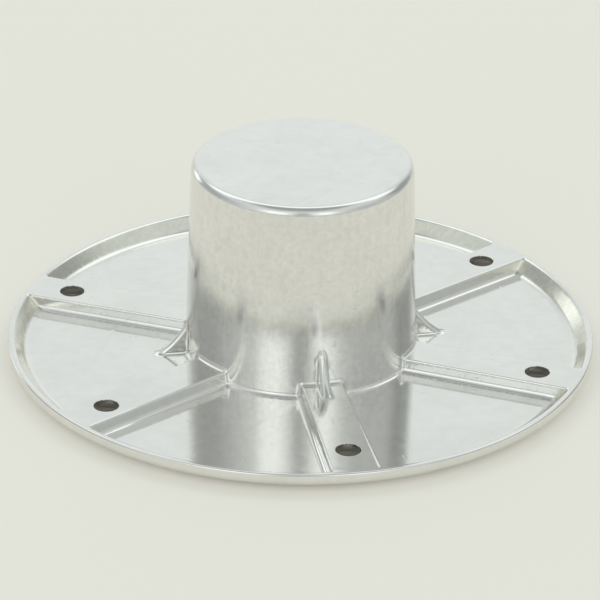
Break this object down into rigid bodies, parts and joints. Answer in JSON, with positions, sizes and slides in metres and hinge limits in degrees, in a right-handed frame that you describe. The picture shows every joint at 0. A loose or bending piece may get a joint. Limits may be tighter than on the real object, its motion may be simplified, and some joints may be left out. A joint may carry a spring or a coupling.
{
  "type": "stanchion base",
  "caption": "Round recessed deck base with a closed post socket, ribbed underside, countersunk screw holes and nylon bushings that guide a removable post",
  "frame": {"origin": "centre of the deck face, at the lowest point of the part as it lies deck side down", "axes": "+Z along the socket towards its closed end, the way the base goes down into the deck; one screw strip lies along -Y and its opposite along +Y, and X runs through the middles of two pockets"},
  "size_m": [0.2286, 0.2286, 0.0808],
  "materials": {
    "cast_aluminium": "bright tumbled and lightly polished die casting, fine brushed marks",
    "nylon": "moulded nylon with a faint even texture"
  },
  "bodies": {
    "root": {"base_casting": "cast_aluminium", "mouth_bushing": "nylon", "heel_bushing": "nylon"}
  },
  "joints": []
}
